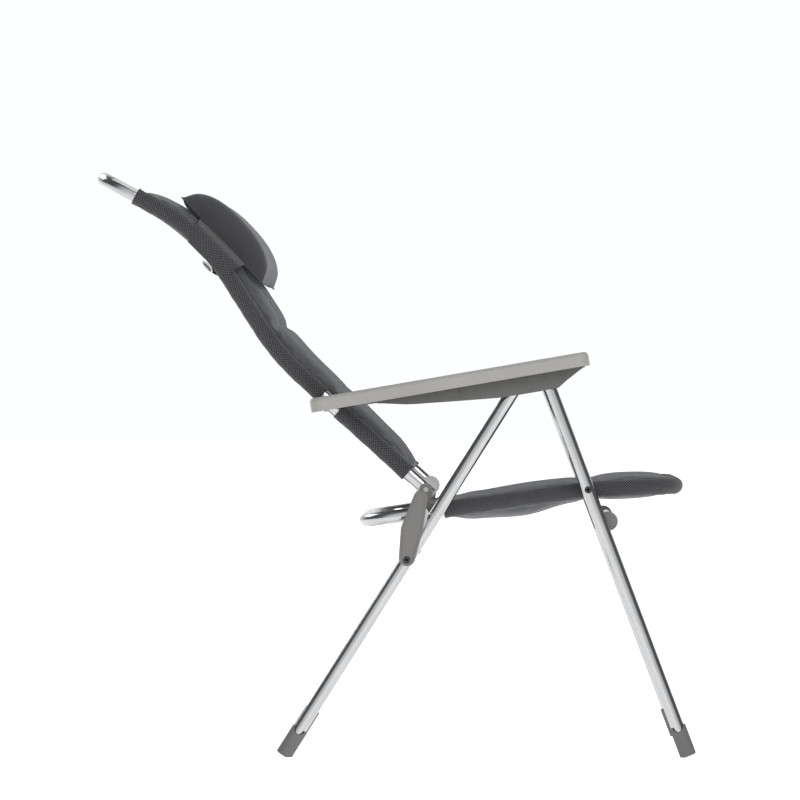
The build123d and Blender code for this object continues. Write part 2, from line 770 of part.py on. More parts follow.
def armrest_casing(node, side):
    """The dark casing under an armrest: a channel open below, where the two leg tops sit."""
    with BuildPart() as casing:
        with BuildSketch(lane_plane(side, casing_near)):
            outline(side, [armrest_point(reach - armrest_tail, depth) for reach, depth in casing_edge])
        extrude(amount=casing_far - casing_near)
        rear = channel_rear - armrest_tail
        below = casing_depth + 5
        with BuildSketch(lane_plane(side, casing_near + casing_wall)):
            outline(side, [armrest_point(rear, -1), armrest_point(channel_front, -1),
                           armrest_point(channel_front, below), armrest_point(rear, below)])
        extrude(amount=casing_far - casing_near - 2 * casing_wall, mode=Mode.SUBTRACT)
        with BuildSketch(lane_plane(side, casing_near + pin_pocket_wall)):
            with Locations(at(side, armrest_pivot)):
                Circle(armrest_hole_radius)
        extrude(amount=casing_far - casing_near - 2 * pin_pocket_wall, mode=Mode.SUBTRACT)
        with BuildSketch(rim_plane(side, -casing_depth)):
            with Locations(*screw_places(side)):
                Circle(screw_radius)
        extrude(amount=casing_depth + 1, mode=Mode.SUBTRACT)
    save(casing, node)


def armrest_reach(point):
    """A side view point's reach ahead of the front pivot and its depth under the rim."""
    across = (point[0] - rim_origin[0], point[1] - rim_origin[1])
    tilt = radians(armrest_angle)
    return (across[0] * cos(tilt) + across[1] * sin(tilt), across[0] * sin(tilt) - across[1] * cos(tilt))


def armrest_rack(node, side):
    """The notched strip inside an armrest, where the backrest's stud catches."""
    first, stud_depth = armrest_reach(back_stud)
    start = first - stud_radius
    finish = first + rack_notches * rack_pitch
    with BuildPart() as rack:
        with BuildSketch(lane_plane(side, armrest_inner + armrest_wall)):
            outline(side, [armrest_point(start, -0.5), armrest_point(finish, -0.5),
                           armrest_point(finish, stud_depth - 11), armrest_point(start, stud_depth - 11)])
        extrude(amount=rack_thickness)
        with BuildSketch(lane_plane(side, armrest_inner + armrest_wall)):
            for count in range(rack_notches):
                reach = first + count * rack_pitch
                capsule(side, armrest_point(reach, stud_depth), armrest_point(reach, 8),
                        stud_radius + touch_gap)
        extrude(amount=rack_thickness, mode=Mode.SUBTRACT)
    save(rack, node)


for name, side in sides.items():
    armrest_shell(f"armrest_shell_{name}", side)
    armrest_casing(f"armrest_casing_{name}", side)
    armrest_rack(f"armrest_rack_{name}", side)

pins("armrest_pivot_pins", armrest_pivot, casing_near + pin_pocket_wall + touch_gap,
     casing_far - pin_pocket_wall - touch_gap, armrest_pin_radius)


def armrest_screws():
    """Screws that hold each casing up to its shell."""
    with BuildPart() as screws:
        for side in sides.values():
            with BuildSketch(rim_plane(side, -screw_head_depth)):
                with Locations(*screw_places(side)):
                    Circle(screw_radius)
            extrude(amount=screw_head_depth + screw_grip)
    save(screws, "armrest_screws")


armrest_screws()
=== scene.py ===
# %% [markdown]
# # A folding camp chair
# A high-backed camping armchair: bright aluminium tube, moulded armrests, a padded seat and
# back edged with open mesh, and a head pillow on mesh wings. The measured model is loaded first
# and fixes where everything is. The cells after it light the chair, mix its finishes, and sew
# the soft pieces that a solid model can't show.

# %% Load the measured model
import bpy
import json
from math import cos, exp, pi, radians, sin, sqrt
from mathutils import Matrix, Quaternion, Vector


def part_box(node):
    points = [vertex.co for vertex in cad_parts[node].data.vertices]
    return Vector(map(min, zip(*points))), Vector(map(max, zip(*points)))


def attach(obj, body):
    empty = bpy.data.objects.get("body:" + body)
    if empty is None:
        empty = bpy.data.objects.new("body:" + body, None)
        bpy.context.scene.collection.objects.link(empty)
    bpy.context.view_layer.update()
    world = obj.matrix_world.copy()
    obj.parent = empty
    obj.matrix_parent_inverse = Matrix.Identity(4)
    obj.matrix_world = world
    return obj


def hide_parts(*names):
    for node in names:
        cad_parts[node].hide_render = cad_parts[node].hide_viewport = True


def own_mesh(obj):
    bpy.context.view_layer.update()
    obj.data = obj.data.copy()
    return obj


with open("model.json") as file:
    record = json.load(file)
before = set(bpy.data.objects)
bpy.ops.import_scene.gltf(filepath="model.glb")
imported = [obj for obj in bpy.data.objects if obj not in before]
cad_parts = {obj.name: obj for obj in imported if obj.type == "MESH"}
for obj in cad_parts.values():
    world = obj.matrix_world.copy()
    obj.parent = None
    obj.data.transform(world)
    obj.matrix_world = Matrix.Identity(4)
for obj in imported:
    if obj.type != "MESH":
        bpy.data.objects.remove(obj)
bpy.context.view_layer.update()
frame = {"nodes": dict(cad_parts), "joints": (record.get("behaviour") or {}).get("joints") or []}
bpy.ops.object.select_all(action="DESELECT")
pivots = {joint["name"]: Vector(joint["pos_m"]) for joint in frame["joints"] if "pos_m" in joint}

# %% [markdown]
# ## Where we stand
# A chair's side view is drawn best from far away with a long lens, so that the near legs hide
# the far ones. The camera stands nine metres off, level with the seat, and looks a little
# towards the backrest, which puts the empty floor behind the chair into the picture.

# %% The camera
camera_place = Vector((0.1969, -8.994, 0.5855))
camera_turn = 1.228
bpy.ops.object.camera_add(location=camera_place, rotation=(radians(90), 0, radians(camera_turn)))
camera = bpy.context.object
camera.data.lens = 239.3
camera.data.sensor_width = 36
camera.data.clip_end = 200
bpy.context.scene.camera = camera
print("camera", tuple(round(value, 3) for value in camera.location))

# %% [markdown]
# ## The room
# Polished tube has no colour of its own: it shows the room. The room is white in front of the
# chair and behind it, which gives each tube a bright core, and darker to either side and above,
# which gives it the grey edges that make it read as round metal. The floor is as white as the
# far wall, so no horizon shows.

# %% Floor, soft boxes and room light
bpy.ops.mesh.primitive_circle_add(vertices=96, radius=60, fill_type="NGON", location=(0, 0, 0))
floor = bpy.context.object
floor.name = "floor"
paper = bpy.data.materials.new("white_paper_floor")
paper.use_nodes = True
paper_shader = paper.node_tree.nodes["Principled BSDF"]
paper_shader.inputs["Base Color"].default_value = (0.88, 0.88, 0.88, 1)
paper_shader.inputs["Roughness"].default_value = 1.0
paper_shader.inputs["Emission Color"].default_value = (1, 1, 1, 1)
paper_shader.inputs["Emission Strength"].default_value = 0.85
floor.data.materials.append(paper)


def soft_box(name, place, aim, size, power):
    """A rectangular area light at a place, turned to face a point."""
    bpy.ops.object.light_add(type="AREA", location=place)
    light = bpy.context.object
    light.name = name
    light.data.shape = "RECTANGLE"
    light.data.size, light.data.size_y = size
    light.data.energy = power
    light.rotation_euler = (Vector(aim) - Vector(place)).to_track_quat("-Z", "Y").to_euler()
    return light


soft_box("key_box", (1.6, -2.6, 2.9), (0, 0, 0.5), (2.2, 1.4), 46)
soft_box("back_box", (-2.4, 1.8, 2.6), (0, 0, 0.5), (2.0, 1.6), 34)
soft_box("top_box", (0.2, 0.2, 3.4), (0, 0, 0), (2.6, 2.6), 26)

room = bpy.data.worlds.new("room")
bpy.context.scene.world = room
room.use_nodes = True
nodes, links = room.node_tree.nodes, room.node_tree.links
nodes["Background"].inputs["Color"].default_value = (0.97, 0.985, 1.0, 1)
direction = nodes.new("ShaderNodeTexCoord")
parts = nodes.new("ShaderNodeSeparateXYZ")
facing = nodes.new("ShaderNodeMath")
facing.operation = "ABSOLUTE"
walls = nodes.new("ShaderNodeMapRange")
walls.interpolation_type = "SMOOTHSTEP"
for name, value in (("From Min", 0.35), ("From Max", 0.9), ("To Min", 0.14), ("To Max", 1.02)):
    walls.inputs[name].default_value = value
links.new(direction.outputs["Generated"], parts.inputs["Vector"])
links.new(parts.outputs["Y"], facing.inputs[0])
links.new(facing.outputs["Value"], walls.inputs["Value"])
links.new(walls.outputs["Result"], nodes["Background"].inputs["Strength"])
bpy.context.scene.view_settings.view_transform = "Standard"

# %% [markdown]
# ## A way to write finishes
# A finish is arithmetic on patterns: so much thread here, so much wear there. Written as plain
# Python sums it stays readable, so one small class wraps a socket and turns each operator into
# the Math node that does it. A second class holds a material and adds any other node.


# %% Sockets as numbers
class Wire:
    """A shader socket that Python's arithmetic joins to Math nodes."""

    def __init__(self, finish, socket):
        self.finish, self.socket = finish, socket

    def maths(self, operation, *values):
        return self.finish.add("Math", {"operation": operation}, dict(enumerate((self,) + values)))

    def __add__(self, other):
        return self.maths("ADD", other)

    def __mul__(self, other):
        return self.maths("MULTIPLY", other)

    def __sub__(self, other):
        return self.maths("SUBTRACT", other)

    def __rsub__(self, other):
        return self.finish.add("Math", {"operation": "SUBTRACT"}, {0: other, 1: self})

    def __neg__(self):
        return self * -1.0

    __radd__, __rmul__ = __add__, __mul__

    def sin(self):
        return self.maths("SINE")

    def size(self):
        return self.maths("ABSOLUTE")

    def over(self, other):
        return self.maths("MAXIMUM", other)

    def ramp(self, low, high):
        """From 0 at one value to 1 at another, with soft ends."""
        return self.finish.add("MapRange", {"interpolation_type": "SMOOTHSTEP"},
                               {"Value": self, "From Min": low, "From Max": high})


class Finish:
    """A material: constants on its shader, and nodes for what changes over the surface."""

    def __init__(self, name, **constants):
        self.material = bpy.data.materials.new(name)
        self.material.use_nodes = True
        self.tree = self.material.node_tree
        self.shader = self.tree.nodes["Principled BSDF"]
        for name, value in constants.items():
            self.shader.inputs[name.replace("_", " ")].default_value = value

    def add(self, kind, settings=(), values=(), out=0):
        """Any node: its type, its settings, the values or links of its sockets, and which output."""
        node = self.tree.nodes.new("ShaderNode" + kind)
        for name, value in dict(settings).items():
            setattr(node, name, value)
        for name, value in dict(values).items():
            if isinstance(value, Wire):
                self.tree.links.new(value.socket, node.inputs[name])
            else:
                node.inputs[name].default_value = value
        return Wire(self, node.outputs[out])

    def feed(self, name, wire):
        self.tree.links.new(wire.socket, self.shader.inputs[name])

    def place(self):
        """A point's place on the whole chair, in metres."""
        return self.add("TexCoord", out="Object")

    def cloth(self):
        """How far along and across the cloth a point is, in metres."""
        parts = {"Vector": self.add("UVMap", {"uv_map": "cloth"})}
        return self.add("SeparateXYZ", {}, parts, "X"), self.add("SeparateXYZ", {}, parts, "Y")

    def noise(self, scale, detail=3.0, where=None, roughness=0.5):
        """Soft noise from 0 to 1, so many patches to the metre."""
        return self.add("TexNoise", {}, {"Vector": where or self.place(), "Scale": scale, "Detail": detail,
                                         "Roughness": roughness})

    def paint(self, share, low, high):
        """A colour between two, by a share from 0 to 1."""
        return self.add("Mix", {"data_type": "RGBA"}, {0: share, 6: (*low, 1), 7: (*high, 1)}, 2)

    def relief(self, height, distance, strength=1.0):
        """Surface detail of a height, in metres."""
        self.feed("Normal", self.add("Bump", {}, {"Height": height, "Distance": distance, "Strength": strength}))


print("finish classes ready")

# %% [markdown]
# ## Metal finishes
# The tube is drawn aluminium, polished and anodised: nearly a mirror, but with the faint cloud
# and hairline scratches of handling, so its roughness wanders between satin and gloss. Links
# and pins are zinc-plated steel, greyer and duller, and the bolt heads are blackened.


# %% Aluminium, steel and black bolts
def metal(name, low, high, smooth, rough, streaks):
    """A bare metal: its two colours, its two roughnesses, and how fine its scratches are."""
    finish = Finish(name, Metallic=1.0)
    cloud = finish.noise(14.0, 4.0)
    scratch = finish.noise(streaks, 5.0, roughness=0.7)
    finish.feed("Base Color", finish.paint(cloud, low, high))
    finish.feed("Roughness", smooth + (rough - smooth) * (cloud * 0.45 + scratch.ramp(0.45, 0.75) * 0.55))
    finish.relief(scratch, 0.00004, 0.35)
    return finish


tube = metal("tube_anodised_aluminium", (0.40, 0.402, 0.406), (0.50, 0.50, 0.504), 0.14, 0.27, 900.0)
steel = metal("steel_zinc_plated", (0.42, 0.42, 0.41), (0.56, 0.56, 0.55), 0.28, 0.5, 700.0)
screw = metal("screw_blackened", (0.035, 0.035, 0.037), (0.07, 0.07, 0.072), 0.3, 0.5, 800.0)
print("metals", [finish.material.name for finish in (tube, steel, screw)])

# %% [markdown]
# ## Moulded finishes
# The armrests are warm grey nylon with a fine spark-eroded grain; the casing and the side plates
# are a darker grey of the same family, and the feet are matt rubber that picks up dust. One
# recipe serves them all: grain for the bump, slow cloud for the colour, and rubbed brighter spots
# where hands and the ground wear the surface.


# %% Plastics and rubber
def moulded(name, base, lift, rough, grain, depth, **constants):
    """A moulded finish: its colour, how much lighter it is where worn, and its grain."""
    finish = Finish(name, **constants)
    fine = finish.noise(grain, 2.0, roughness=0.6)
    cloud = finish.noise(9.0, 5.0)
    rub = finish.noise(42.0, 6.0, roughness=0.65).ramp(0.56, 0.78)
    lighter = tuple(min(1.0, part * lift) for part in base)
    finish.feed("Base Color", finish.paint(cloud.ramp(0.25, 0.8) * 0.6 + rub * 0.4, base, lighter))
    finish.feed("Roughness", rough + fine * 0.16 - rub * 0.1)
    finish.relief(fine, depth, 0.6)
    return finish


armrest_plastic = moulded("armrest_warm_grey_nylon", (0.285, 0.279, 0.266), 1.14, 0.42, 1500.0, 0.00012)
casing_plastic = moulded("casing_mid_grey_nylon", (0.088, 0.086, 0.083), 1.25, 0.46, 1400.0, 0.00012)
plate_plastic = moulded("side_plate_grey_nylon", (0.135, 0.132, 0.127), 1.25, 0.44, 1500.0, 0.0001)
plug_plastic = moulded("plug_dark_grey_nylon", (0.05, 0.05, 0.05), 1.3, 0.5, 1200.0, 0.0001)
boot_rubber = moulded("boot_grey_rubber", (0.115, 0.115, 0.113), 1.45, 0.68, 1100.0, 0.0002)
print("moulded finishes ready")

# %% [markdown]
# ## Cloth finishes
# Two cloths cover the chair. The edging, the wings and the pillow's ends are a spacer mesh: dark
# yarn with rows of small open cells set on the slant, four millimetres apart. The panels are a
# brushed weave, much finer, whose nap catches light at a glancing angle, which is the sheen.
# Both patterns read the cloth's own coordinates, which are laid out in metres when a piece is
# cut, so the rows bend with the tubes and never swim.


# %% Spacer mesh and brushed weave
def spacer_mesh(name, dark, yarn, pitch, depth):
    """An open mesh: slanted rows of cells between lighter yarns, with a painted highlight on the raised yarn and
    painted shade in the hollow cells.
    """
    finish = Finish(name, Sheen_Weight=0.25, Sheen_Roughness=0.4, Specular_IOR_Level=0.3)
    along, across = finish.cloth()
    turn = 2 * pi / pitch
    cells = (along * turn).sin() * (across * turn).sin()
    ribs = ((along + across) * turn).sin() * 0.5 + 0.5
    fuzz = finish.noise(2600.0, 2.0)
    # The raised yarn is painted lighter: its own pattern together with a painted highlight. The hollow cells are
    # painted darker, as painted shade inside them.
    raised_lit_yarn = (cells * 0.5 + 0.5).ramp(0.35, 0.95) * (0.7 + fuzz * 0.45)
    shaded_hollow = (-cells).ramp(0.3, 0.85)
    dirt = finish.noise(11.0, 4.0)
    # The colour mixes the painted highlight on the raised yarn, the slanted ribs, random dirt and the painted shade
    # in the hollows.
    shade = raised_lit_yarn * 0.8 + ribs * 0.12 + dirt * 0.15 - shaded_hollow * 0.2
    finish.feed("Base Color", finish.paint(shade.over(0.0), dark, yarn))
    finish.feed("Roughness", 0.95 - raised_lit_yarn * 0.25)
    finish.relief(raised_lit_yarn - shaded_hollow * 0.8, depth, 0.8)
    return finish


def brushed_weave(name, dark, light, pitch, depth, sheen):
    """A fine plain weave with a soft nap."""
    finish = Finish(name, Sheen_Weight=sheen, Sheen_Roughness=0.45, Specular_IOR_Level=0.25,
                    Sheen_Tint=(0.85, 0.87, 0.92, 1))
    along, across = finish.cloth()
    turn = 2 * pi / pitch
    warp = (along * turn).sin() * (across * (turn / 2)).sin()
    weft = (across * turn).sin() * (along * (turn / 2)).sin()
    nap = finish.noise(1900.0, 3.0, roughness=0.7)
    cloud = finish.noise(16.0, 5.0, roughness=0.6)
    thread = warp.size() * 0.5 + weft.size() * 0.5
    shade = thread * 0.35 + nap * 0.35 + cloud * 0.5 - 0.1
    finish.feed("Base Color", finish.paint(shade.over(0.0), dark, light))
    finish.feed("Roughness", 0.92 - thread * 0.15)
    finish.relief(thread * 0.6 + nap * 0.6, depth, 0.7)
    return finish


mesh_fabric = spacer_mesh("mesh_charcoal_spacer", (0.013, 0.013, 0.014), (0.115, 0.115, 0.12), 0.0042, 0.0006)
panel_fabric = brushed_weave("panel_charcoal_weave", (0.024, 0.024, 0.026), (0.068, 0.068, 0.073), 0.0016,
                             0.00025, 0.35)
print("cloth finishes ready")

# %% [markdown]
# ## Painting the measured model
# Most hard pieces are already the right shape, so they only need the right finish. Each node is
# matched by the words in its name, the way one would label a box of parts.

# %% Finishes for the hard pieces
hard_finishes = {
    "front_leg_tube": tube, "rear_leg_tube": tube, "front_stretcher": tube, "rear_stretcher": tube,
    "seat_frame": tube, "back_frame": tube, "side_link": steel, "leg_top_links": steel,
    "rear_leg_top_pins": steel, "seat_rear_bolts": steel, "seat_link_pins": steel, "armrest_pivot_pins": steel,
    "back_pivot_pins": steel, "armrest_studs": screw, "seat_pivot_bolts": screw, "rear_leg_bolts": screw,
    "armrest_screws": screw, "armrest_shell": armrest_plastic, "armrest_casing": casing_plastic,
    "armrest_rack": casing_plastic, "side_cover": plate_plastic, "front_bracket": plate_plastic,
    "seat_hinge_bracket": plate_plastic, "front_leg_top_plugs": plug_plastic, "rear_leg_top_plugs": plug_plastic,
    "back_frame_plugs": plug_plastic, "front_boot": boot_rubber, "rear_boot": boot_rubber,
}
painted = 0
for node_name, node in frame["nodes"].items():
    for word, finish in hard_finishes.items():
        if node_name in (word, word + "_left", word + "_right"):
            node.data.materials.clear()
            node.data.materials.append(finish.material)
            painted += 1
print("painted nodes", painted)

# %% [markdown]
# ## The line of a bent tube
# Every soft piece follows a tube, and a bent tube is straight runs joined by round bends. This
# class keeps that line and tells, for a distance along it, where one is, which way the tube
# points, and which way is out. Cloth can then be cut and sewn flat, which is easy, and laid
# along the tube afterwards.


# %% Straight runs and round bends
class Run:
    """The centre line of a bent tube: corners, the bend radius at each, and which way is out."""

    def __init__(self, corners, radii, out):
        self.pieces = []
        self.length = 0.0
        start = corners[0]
        for before, corner, after, radius in zip(corners, corners[1:], corners[2:], radii):
            arriving, leaving = (corner - before).normalized(), (after - corner).normalized()
            angle = arriving.angle(leaving)
            inset = radius * sin(angle / 2) / cos(angle / 2)
            axle = arriving.cross(leaving).normalized()
            self.extend(start, arriving, out, (corner - arriving * inset - start).length)
            start = corner - arriving * inset
            self.extend(start, arriving, out, angle * radius, axle, radius)
            out = Quaternion(axle, angle) @ out
            start = corner + leaving * inset
        self.extend(start, (corners[-1] - start).normalized(), out, (corners[-1] - start).length)

    def extend(self, start, direction, out, length, axle=None, radius=None):
        self.pieces.append((self.length, start, direction, out, axle, radius))
        self.length += length

    def place(self, distance):
        """The point, the direction and the way out at a distance along the line."""
        for begin, start, direction, out, axle, radius in reversed(self.pieces):
            if distance >= begin or begin == 0.0:
                break
        reach = distance - begin
        if axle is None:
            return start + direction * reach, direction, out
        turn = Quaternion(axle, reach / radius)
        centre = start + axle.cross(direction) * radius
        return centre + turn @ (start - centre), turn @ direction, turn @ out


def ahead(point, angle, distance):
    """A point in the side view, a distance away at an angle from the floor."""
    return point + Vector((cos(radians(angle)), 0, sin(radians(angle)))) * distance


def lane(points, across):
    """The same side view points in a lane beside the middle."""
    return [Vector((point.x, across, point.z)) for point in points]


frame_lane = 0.245
seat_front_angle = 2.3
back_angles = (137.6, 122.5, 151.5)
back_lengths = (0.330, 0.2416, 0.1834)
back_radii = (0.400, 0.300)
cloth_stop = 0.064

seat_pivot, back_pivot = pivots["fold"], pivots["recline"]
seat_slope = 8.05
seat_rear = ahead(ahead(back_pivot, seat_slope, -0.0104), seat_slope + 90, -0.037)
seat_front = ahead(seat_pivot, seat_front_angle, 0.144)
back_knee = ahead(back_pivot, back_angles[0], back_lengths[0])
back_neck = ahead(back_knee, back_angles[1], back_lengths[1])
back_end = ahead(back_neck, back_angles[2], back_lengths[2] - cloth_stop)
up_the_seat = Vector((-sin(radians(seat_slope)), 0, cos(radians(seat_slope))))
out_of_back = Vector((sin(radians(back_angles[0])), 0, -cos(radians(back_angles[0]))))
back_points = [back_pivot, back_knee, back_neck, back_end]
back_line = Run(back_points, back_radii, out_of_back)
seat_line = Run([seat_rear, seat_pivot, seat_front], [0.7], up_the_seat)
print("cloth along the back", round(back_line.length, 3), "and the seat", round(seat_line.length, 3))

# %% [markdown]
# ## Cutting and sewing cloth
# A panel starts as a flat grid, cut to size, with its coordinates written down in metres for the
# weave. A Solidify modifier doubles it into a front and a rear cloth. The two are then drawn
# apart to the padding's thickness, with a valley wherever a seam holds them together.


# %% Helpers for cloth
def finish_with(piece, kind, **settings):
    """Adds a modifier to a piece and applies it."""
    bpy.ops.object.select_all(action="DESELECT")
    piece.select_set(True)
    bpy.context.view_layer.objects.active = piece
    modifier = piece.modifiers.new(kind.lower(), kind)
    for name, value in settings.items():
        setattr(modifier, name, value)
    bpy.ops.object.modifier_apply(modifier=modifier.name)


def cut_cloth(name, length, width, cell):
    """A flat rectangle of cloth from x = 0, centred on y = 0, in square cells."""
    columns, rows = max(2, round(length / cell)), max(2, round(width / cell))
    bpy.ops.object.select_all(action="DESELECT")
    bpy.ops.mesh.primitive_grid_add(x_subdivisions=columns, y_subdivisions=rows, size=1)
    piece = bpy.context.object
    piece.name = piece.data.name = name
    for vertex in piece.data.vertices:
        vertex.co = ((vertex.co.x + 0.5) * length, vertex.co.y * width, 0)
    layer = piece.data.uv_layers[0]
    layer.name = "cloth"
    for loop in piece.data.loops:
        point = piece.data.vertices[loop.vertex_index].co
        layer.data[loop.index].uv = (point.x, point.y)
    return piece


def lay(piece, run, start=0.0):
    """Lays a piece that was made flat along a tube's line."""
    for vertex in piece.data.vertices:
        point, along, out = run.place(start + vertex.co.x)
        vertex.co = point + out.cross(along) * vertex.co.y + out * vertex.co.z


def tidy_faces(piece, merge=0.00005):
    """Merges doubles, turns every face outwards and shades the piece smooth."""
    bpy.ops.object.select_all(action="DESELECT")
    piece.select_set(True)
    bpy.context.view_layer.objects.active = piece
    bpy.ops.object.mode_set(mode="EDIT")
    bpy.ops.mesh.select_all(action="SELECT")
    bpy.ops.mesh.remove_doubles(threshold=merge)
    bpy.ops.mesh.normals_make_consistent(inside=False)
    bpy.ops.object.mode_set(mode="OBJECT")
    bpy.ops.object.shade_smooth()


def dress(piece, finish, body, slot, *nodes):
    """Gives a piece its finish, the body it moves with, and the solids that it stands for."""
    piece.data.materials.clear()
    piece.data.materials.append(finish.material)
    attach(piece, body)
    if nodes:
        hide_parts(*nodes)
    print(piece.name, len(piece.data.vertices), "points")


# %% [markdown]
# ## Padding
# The padding is blown up, the way a workshop's pattern maker thinks of it: cloth that is pinned
# along its seams and pressed out from inside. The cloth simulation does just that, without
# gravity, for twenty frames. A cap on how far a point may travel keeps the swollen panel inside
# the chair's real thickness.


# %% Blowing up a padded piece
def puff(piece, held, pressure, travel, slack=0.0):
    """Presses a padded piece out from inside, pinned where `held` says, and caps the travel."""
    before = [vertex.co.copy() for vertex in piece.data.vertices]
    group = piece.vertex_groups.new(name="sewn")
    for index, weight in held.items():
        group.add([index], weight, "REPLACE")
    modifier = piece.modifiers.new("cloth", "CLOTH")
    cloth, scene = modifier.settings, bpy.context.scene
    cloth.quality = 5
    cloth.mass = 0.3
    cloth.air_damping = 2.0
    cloth.tension_stiffness = cloth.compression_stiffness = 12
    cloth.shear_stiffness = 4
    cloth.bending_stiffness = 0.4
    cloth.shrink_min = -slack
    cloth.vertex_group_mass = "sewn"
    cloth.use_pressure = True
    cloth.uniform_pressure_force = pressure
    cloth.effector_weights.gravity = 0
    modifier.collision_settings.use_collision = False
    modifier.point_cache.frame_start, modifier.point_cache.frame_end = 1, 20
    for count in range(1, 21):
        scene.frame_set(count)
    bpy.context.view_layer.objects.active = piece
    bpy.ops.object.modifier_apply(modifier="cloth")
    piece.vertex_groups.clear()
    scene.frame_set(1)
    moved = 0.0
    for vertex, place in zip(piece.data.vertices, before):
        change = vertex.co - place
        if change.length > 1e-9:
            change *= travel * (1 - exp(-change.length / travel)) / change.length
        vertex.co = place + change
        moved = max(moved, change.length)
    print(piece.name, "swelled by up to", round(moved * 1000, 1), "mm")


def seam_valley(distance, width):
    """How deep in a seam's valley a point is: 1 on the seam, 0 well away from it."""
    return exp(-(distance / width) ** 2)


def padded_panel(name, length, width, cell):
    """A closed flat pad, x along and y from -1 to 1, in three layers: z is 0.5, 0 and -0.5."""
    panel = cut_cloth(name, length, width, cell)
    for vertex in panel.data.vertices:
        vertex.co.y /= width / 2
    finish_with(panel, "SOLIDIFY", thickness=1.0, offset=0.0)
    points = panel.data.vertices
    bpy.ops.object.mode_set(mode="EDIT")
    bpy.ops.mesh.select_all(action="DESELECT")
    bpy.ops.object.mode_set(mode="OBJECT")
    for edge in panel.data.edges:
        edge.select = abs(points[edge.vertices[0]].co.z - points[edge.vertices[1]].co.z) > 0.5
    bpy.ops.object.mode_set(mode="EDIT")
    bpy.ops.mesh.select_mode(type="EDGE")
    bpy.ops.mesh.subdivide(number_cuts=1)
    bpy.ops.mesh.select_mode(type="VERT")
    bpy.ops.object.mode_set(mode="OBJECT")
    return panel


def sewn_points(panel, length, cell, seams_along, seams_across, width):
    """The points that stitching holds: the whole rim, and every seam on both faces."""
    held = {}
    for vertex in panel.data.vertices:
        x, y, layer = vertex.co
        rim = abs(y) > 1 - cell / width or x < cell * 0.5 or x > length - cell * 0.5 or abs(layer) < 0.4
        along = any(abs(y - seam) * width / 2 < cell * 0.55 for seam in seams_along)
        across = any(abs(x - seam) < cell * 0.55 for seam in seams_across)
        if rim or along or across:
            held[vertex.index] = 1.0
    return held


def between(value, *stops):
    """A number read between stops of (place, number)."""
    for (low, first), (high, second) in zip(stops, stops[1:]):
        if value <= high:
            share = max(0.0, (value - low) / (high - low))
            return first + (second - first) * share * share * (3 - 2 * share)
    return stops[-1][1]


print("cloth helpers ready")

# %% [markdown]
# ## The seat panel
# The seat is a quilted pad slung between the rails. It is thin at the rear, swells above the
# rails, sags a little more below them, and a cross seam draws it in over the front legs' pivots.
# Its rim is sewn onto the edging, just inside the top of the rails, and follows their rounded
# front corners.

# %% The seat panel
rim_across, rim_out = 0.2372, 0.0112
wall_across, wall_out = 0.2312, 0.0005
under_across, under_out = 0.2325, -0.0085
panel_cell = 0.0068


def rim_place(layer):
    """Half the width, and the height, of a panel's rim in one of its three layers."""
    if layer > 0.25:
        return rim_across, rim_out
    return (wall_across, wall_out) if layer > -0.25 else (under_across, under_out)


def crown(share, power, softness):
    """How full a pad is between its edges: 0 at share 1 or -1, and 1 in the middle."""
    return max(0.0, 1 - abs(share) ** power) ** softness


seat_start = 0.035
seat_length = seat_line.length - seat_start - 0.0075
seat_corner = 0.046
seat_cross_seam = 0.2741 - seat_start
seat_seams = (-0.37, 0.37)


def seat_shape(x, y, layer):
    """Where a point of the flat seat pad goes: along, across and out."""
    half, edge = rim_place(layer)
    curve = max(0.0, x - (seat_length - seat_corner))
    half -= seat_corner - sqrt(max(0.0, seat_corner ** 2 - curve ** 2))
    full = crown(y, 7, 0.6) * crown(2 * x / seat_length - 1, 10, 0.5)
    if layer > 0.25:
        face = between(x, (0.0, 0.006), (0.05, 0.012), (0.15, 0.0145), (0.24, 0.013), (0.3, 0.0165),
                       (0.4, 0.0155))
        sink = -1
    else:
        face = -between(x, (0.0, 0.012), (0.05, 0.020), (0.13, 0.0255), (0.21, 0.0150), (0.3, 0.0150),
                        (0.4, 0.0125))
        sink = 1
    valley = max(seam_valley((y - seam) * half, 0.011) for seam in seat_seams) * 0.0042
    valley = max(valley, seam_valley(x - seat_cross_seam, 0.011) * 0.0035) * full
    if abs(layer) < 0.25:
        return x, y * half, edge
    return x, y * half, edge + (face - edge) * full + sink * valley


def shaped(panel, shape):
    """Draws a flat pad out to its shape."""
    for vertex in panel.data.vertices:
        vertex.co = shape(*vertex.co)


seat_panel = padded_panel("seat_panel", seat_length, 2 * rim_across, panel_cell)
seat_sewn = sewn_points(seat_panel, seat_length, panel_cell, seat_seams, (seat_cross_seam,), 2 * rim_across)
shaped(seat_panel, seat_shape)
puff(seat_panel, seat_sewn, 6.0, 0.006, slack=0.03)
finish_with(seat_panel, "SUBSURF", levels=1, render_levels=1)
lay(seat_panel, seat_line, seat_start)
tidy_faces(seat_panel)
dress(seat_panel, panel_fabric, "seat", "panel_fabric", "seat_pad")
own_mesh(seat_panel)

# %% [markdown]
# ## The back panel
# The back is the same pad, longer, and bent with the back tubes: full over the small of the back,
# thin at the top where the pillow sits. One cross seam draws it in below the shoulders, which
# leaves the little dart beside the tube.

# %% The back panel
back_start = 0.040
back_length = back_line.length - back_start - 0.004
back_cross_seam = 0.372 - back_start
back_seams = (-0.36, 0.36)


